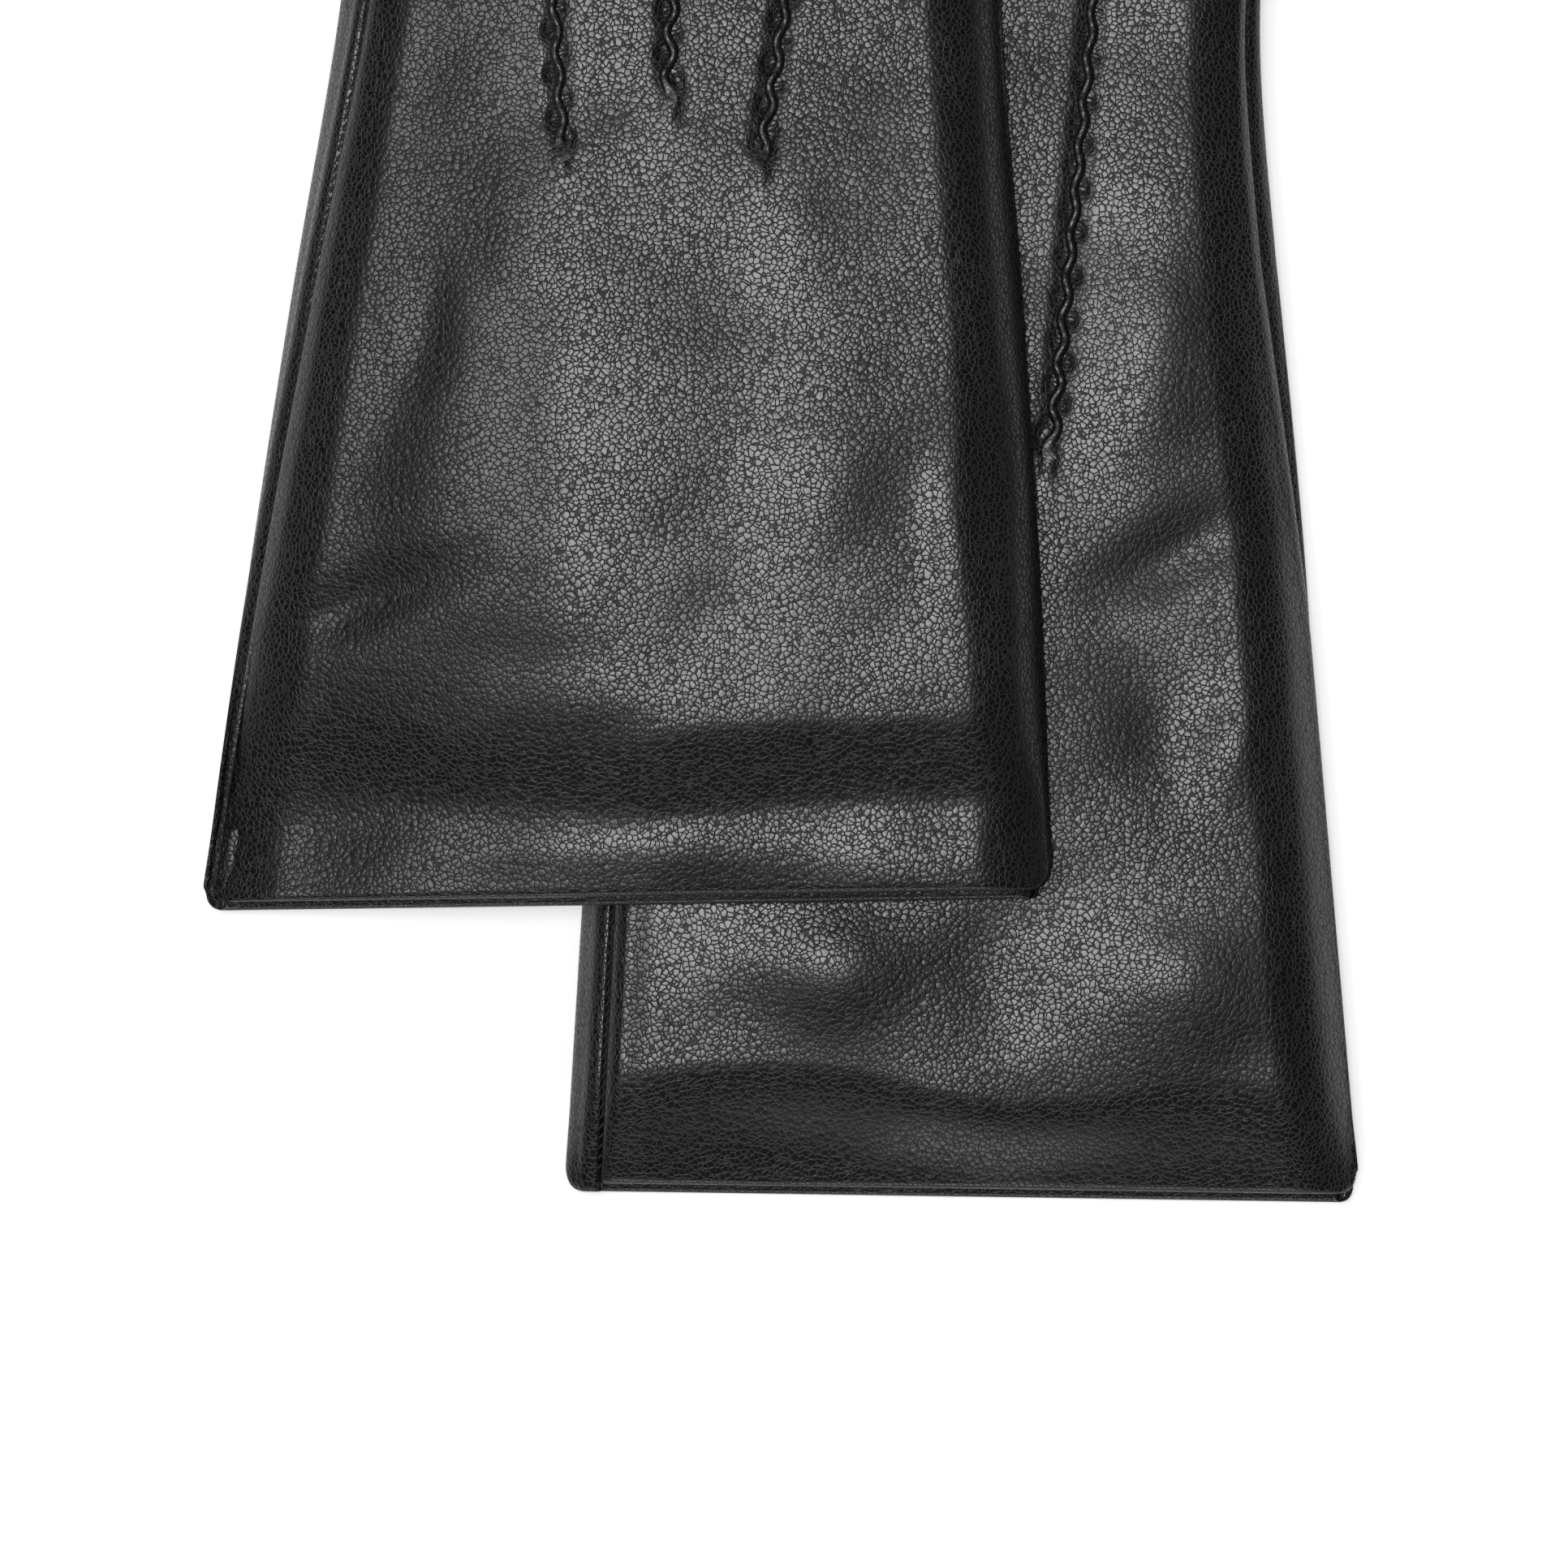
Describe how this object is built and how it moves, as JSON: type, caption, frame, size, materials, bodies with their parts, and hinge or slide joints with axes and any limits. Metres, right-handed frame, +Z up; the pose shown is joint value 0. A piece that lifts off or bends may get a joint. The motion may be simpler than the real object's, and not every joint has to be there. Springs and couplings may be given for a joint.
{
  "type": "pair of leather gloves",
  "caption": "Pair of lined black leather gloves with long flared cuffs and raised points on the back, one glove lying across the other, palms down.",
  "frame": {"origin": "middle of the pair's footprint, on the surface it lies on", "axes": "+Z up, +Y from the cuffs towards the fingertips, +X towards the right glove's little finger"},
  "size_m": [0.1612, 0.3484, 0.0226],
  "materials": {
    "glove_leather": "fine pebbled grain, soft sheen",
    "knit_lining": "fine matt knit"
  },
  "bodies": {
    "right_hand": {"right_back_panel": "glove_leather", "right_hand_lining": "knit_lining", "right_hem_facing": "glove_leather", "right_palm_panel": "glove_leather", "right_point_1": "glove_leather", "right_point_2": "glove_leather", "right_point_3": "glove_leather"},
    "left_hand": {"left_back_panel": "glove_leather", "left_hand_lining": "knit_lining", "left_hem_facing": "glove_leather", "left_palm_panel": "glove_leather", "left_point_1": "glove_leather", "left_point_2": "glove_leather", "left_point_3": "glove_leather"},
    "right_thumb": {"right_thumb_back": "glove_leather", "right_thumb_lining": "knit_lining", "right_thumb_palm": "glove_leather"},
    "right_index": {"right_index_back": "glove_leather", "right_index_fourchette": "glove_leather", "right_index_lining": "knit_lining", "right_index_palm": "glove_leather"},
    "right_middle": {"right_middle_back": "glove_leather", "right_middle_fourchette_a": "glove_leather", "right_middle_fourchette_b": "glove_leather", "right_middle_lining": "knit_lining", "right_middle_palm": "glove_leather"},
    "right_ring": {"right_ring_back": "glove_leather", "right_ring_fourchette_a": "glove_leather", "right_ring_fourchette_b": "glove_leather", "right_ring_lining": "knit_lining", "right_ring_palm": "glove_leather"},
    "right_little": {"right_little_back": "glove_leather", "right_little_fourchette": "glove_leather", "right_little_lining": "knit_lining", "right_little_palm": "glove_leather"},
    "left_thumb": {"left_thumb_back": "glove_leather", "left_thumb_lining": "knit_lining", "left_thumb_palm": "glove_leather"},
    "left_index": {"left_index_back": "glove_leather", "left_index_fourchette": "glove_leather", "left_index_lining": "knit_lining", "left_index_palm": "glove_leather"},
    "left_middle": {"left_middle_back": "glove_leather", "left_middle_fourchette_a": "glove_leather", "left_middle_fourchette_b": "glove_leather", "left_middle_lining": "knit_lining", "left_middle_palm": "glove_leather"},
    "left_ring": {"left_ring_back": "glove_leather", "left_ring_fourchette_a": "glove_leather", "left_ring_fourchette_b": "glove_leather", "left_ring_lining": "knit_lining", "left_ring_palm": "glove_leather"},
    "left_little": {"left_little_back": "glove_leather", "left_little_fourchette": "glove_leather", "left_little_lining": "knit_lining", "left_little_palm": "glove_leather"}
  },
  "joints": [
    {"name": "left_glove_lift", "type": "slide", "parent": "right_hand", "child": "left_hand", "axis": [0, 0, 1], "range_m": [0, 0.1]},
    {"name": "right_thumb_bend", "type": "hinge", "parent": "right_hand", "child": "right_thumb", "pos_m": [-0.02171, 0.02123, 0], "axis": [0.1484, -0.9889, 0], "range_deg": [0, 55]},
    {"name": "right_index_bend", "type": "hinge", "parent": "right_hand", "child": "right_index", "pos_m": [-0.01921, 0.05462, 0], "axis": [-0.9979, -0.0645, 0], "range_deg": [0, 70]},
    {"name": "right_middle_bend", "type": "hinge", "parent": "right_hand", "child": "right_middle", "pos_m": [0.00651, 0.05237, 0], "axis": [-0.9998, -0.0209, 0], "range_deg": [0, 70]},
    {"name": "right_ring_bend", "type": "hinge", "parent": "right_hand", "child": "right_ring", "pos_m": [0.03234, 0.0501, 0], "axis": [-0.9995, 0.0314, 0], "range_deg": [0, 70]},
    {"name": "right_little_bend", "type": "hinge", "parent": "right_hand", "child": "right_little", "pos_m": [0.05807, 0.04785, 0], "axis": [-0.9957, 0.0924, 0], "range_deg": [0, 70]},
    {"name": "left_thumb_bend", "type": "hinge", "parent": "left_hand", "child": "left_thumb", "pos_m": [0.02763, 0.05929, 0.02155], "axis": [-0.1879, -0.9822, 0], "range_deg": [0, 55]},
    {"name": "left_index_bend", "type": "hinge", "parent": "left_hand", "child": "left_index", "pos_m": [0.02642, 0.09275, 0.02155], "axis": [0.9949, -0.1011, 0], "range_deg": [0, 70]},
    {"name": "left_middle_bend", "type": "hinge", "parent": "left_hand", "child": "left_middle", "pos_m": [0.00063, 0.09144, 0.02155], "axis": [0.9983, -0.0576, 0], "range_deg": [0, 70]},
    {"name": "left_ring_bend", "type": "hinge", "parent": "left_hand", "child": "left_ring", "pos_m": [-0.02527, 0.09012, 0.02155], "axis": [1, -0.0052, 0], "range_deg": [0, 70]},
    {"name": "left_little_bend", "type": "hinge", "parent": "left_hand", "child": "left_little", "pos_m": [-0.05106, 0.08881, 0.02143], "axis": [0.9984, 0.0558, 0], "range_deg": [0, 70]}
  ]
}
